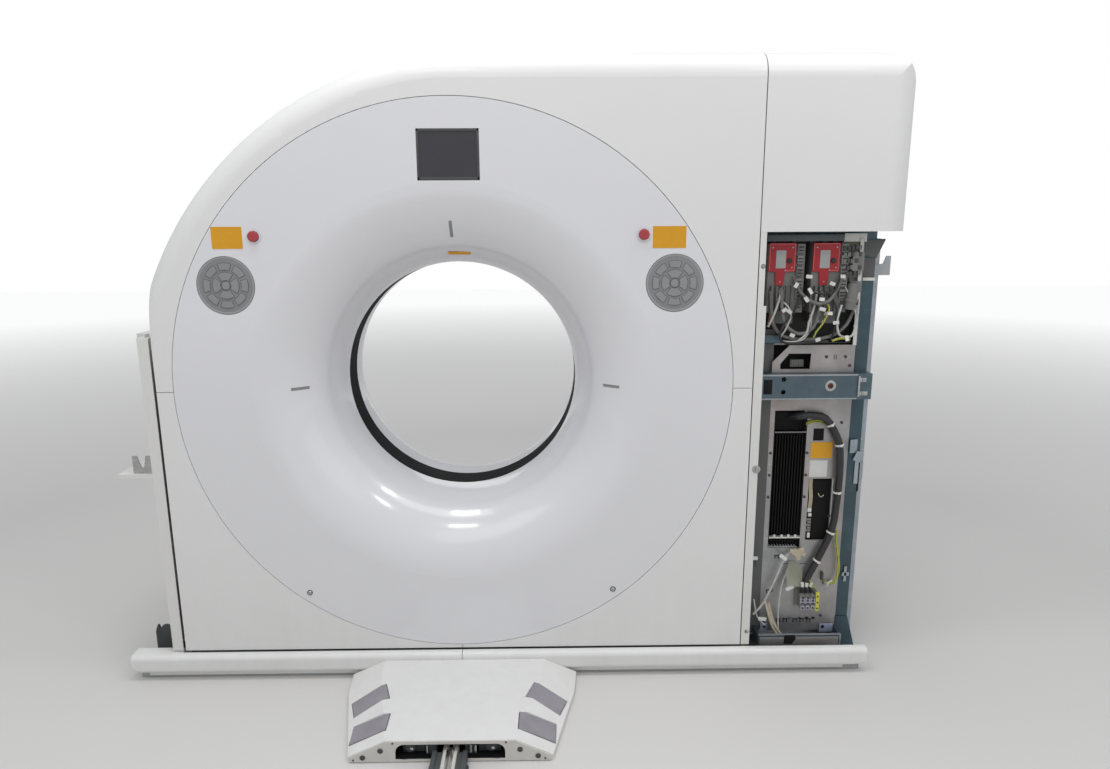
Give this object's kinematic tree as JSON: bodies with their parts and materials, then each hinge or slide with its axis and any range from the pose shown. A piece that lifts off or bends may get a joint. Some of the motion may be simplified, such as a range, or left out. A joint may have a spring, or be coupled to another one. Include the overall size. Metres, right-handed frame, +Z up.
{
  "type": "ct scanner gantry",
  "caption": "Tilting CT scanner gantry with a funnel bore, an open service column and a foot-pedal cover on a low base",
  "frame": {"origin": "on the floor under the isocentre, the middle of the base plate's anchor holes", "axes": "+X to the right seen from the pedal side, +Y into the machine along the bore, +Z up"},
  "size_m": [2.265, 1.1082, 1.789],
  "materials": {
    "cover_white": "satin",
    "funnel_white": "gloss",
    "post_white": "satin",
    "frame_grey": "satin",
    "panel_grey": "satin",
    "blue_zinc": "satin",
    "bare_steel": "satin",
    "dark_iron": "matt",
    "bay_dark": "matt",
    "body_grey": "matt",
    "drive_red": "matt",
    "connector_grey": "matt",
    "cable_black": "matt",
    "cable_grey": "matt",
    "earth_green": "matt",
    "motor_grey": "satin",
    "pad_grey": "matt",
    "window_dark": "satin",
    "screen_dark": "gloss",
    "bezel_dark": "matt",
    "button_red": "gloss",
    "rotor_aluminium": "satin",
    "tube_metal": "satin"
  },
  "bodies": {
    "stand": {"base_plate": "frame_grey", "foot_beams": "frame_grey", "front_skirts": "cover_white", "rear_skirt": "cover_white", "post_left": "post_white", "post_right": "frame_grey", "trunnion_bearings": "bare_steel", "post_strips": "post_white", "tray_shelf": "post_white", "tray_yoke": "bare_steel", "foot_brackets": "dark_iron", "column_frame": "blue_zinc", "column_post": "blue_zinc", "column_flange": "blue_zinc", "crossbar": "blue_zinc", "equipment_panels": "panel_grey", "drive_bay": "bay_dark", "drive_bodies": "body_grey", "drive_fronts": "drive_red", "connectors": "connector_grey", "fin_module": "bay_dark", "harness": "cable_black", "earth_cable": "earth_green", "bay_cables": "cable_grey", "column_top_cover": "cover_white", "column_rear_cover": "cover_white", "tilt_motor": "motor_grey", "pedal_cover": "cover_white", "pedal_end_plate": "bare_steel"},
    "gantry": {"cover_upper": "cover_white", "cover_lower_left": "cover_white", "cover_lower_right": "cover_white", "funnel_front": "funnel_white", "cover_rear": "funnel_white", "bore_window": "window_dark", "shell_top": "cover_white", "side_panels": "cover_white", "shell_pan": "cover_white", "tilt_frame": "frame_grey", "bearing_outer": "bare_steel", "display_screen": "screen_dark", "control_pads": "pad_grey", "stop_bezels": "bezel_dark", "laser_windows": "window_dark", "drive_motor": "motor_grey", "drive_belt": "cable_black", "tilt_sector": "bare_steel"},
    "rotor": {"rotor_drum": "rotor_aluminium", "bearing_inner": "bare_steel", "tube_assembly": "tube_metal", "detector_arc": "bay_dark", "power_units": "body_grey"},
    "pulley": {"motor_pulley": "bare_steel"},
    "pinion": {"tilt_pinion": "bare_steel"},
    "stop_left": {"stop_button_left": "button_red"},
    "stop_right": {"stop_button_right": "button_red"},
    "pedal_lr": {"pedal_left_rear": "pad_grey"},
    "pedal_lf": {"pedal_left_front": "pad_grey"},
    "pedal_rr": {"pedal_right_rear": "pad_grey"},
    "pedal_rf": {"pedal_right_front": "pad_grey"}
  },
  "joints": [
    {"name": "gantry_tilt", "type": "hinge", "parent": "stand", "child": "gantry", "pos_m": [0, 0, 0.885], "axis": [1, 0, 0], "range_deg": [-30, 30]},
    {"name": "tilt_pinion_spin", "type": "hinge", "parent": "stand", "child": "pinion", "pos_m": [0, 0, 0.7], "axis": [1, 0, 0], "range_deg": [-130, 130]},
    {"name": "rotor_spin", "type": "hinge", "parent": "gantry", "child": "rotor", "pos_m": [0, 0, 0.885], "axis": [0, 1, 0], "continuous": true},
    {"name": "motor_spin", "type": "hinge", "parent": "gantry", "child": "pulley", "pos_m": [-0.592, 0, 0.3], "axis": [0, 1, 0], "continuous": true},
    {"name": "stop_left_press", "type": "slide", "parent": "gantry", "child": "stop_left", "axis": [0, 1, 0], "range_m": [0, 0.005], "stiffness_N_per_m": 900, "springref_m": -0.003},
    {"name": "stop_right_press", "type": "slide", "parent": "gantry", "child": "stop_right", "axis": [0, 1, 0], "range_m": [0, 0.005], "stiffness_N_per_m": 900, "springref_m": -0.003},
    {"name": "pedal_left_rear_press", "type": "hinge", "parent": "stand", "child": "pedal_lr", "pos_m": [-0.195, -0.454, 0.056], "axis": [0.3256, -0.9455, 0], "range_deg": [0, 6], "stiffness_Nm_per_rad": 6, "springref_deg": -5.73},
    {"name": "pedal_left_front_press", "type": "hinge", "parent": "stand", "child": "pedal_lf", "pos_m": [-0.168, -0.589, 0.056], "axis": [0.0175, -0.9998, 0], "range_deg": [0, 6], "stiffness_Nm_per_rad": 6, "springref_deg": -5.73},
    {"name": "pedal_right_rear_press", "type": "hinge", "parent": "stand", "child": "pedal_rr", "pos_m": [0.211, -0.454, 0.056], "axis": [0.3256, 0.9455, 0], "range_deg": [0, 6], "stiffness_Nm_per_rad": 6, "springref_deg": -5.73},
    {"name": "pedal_right_front_press", "type": "hinge", "parent": "stand", "child": "pedal_rf", "pos_m": [0.184, -0.589, 0.056], "axis": [0.0175, 0.9998, 0], "range_deg": [0, 6], "stiffness_Nm_per_rad": 6, "springref_deg": -5.73}
  ],
  "couplings": [
    {"joint": "tilt_pinion_spin", "follows": "gantry_tilt", "ratio": -4.2857},
    {"joint": "motor_spin", "follows": "rotor_spin", "ratio": 12.167}
  ]
}
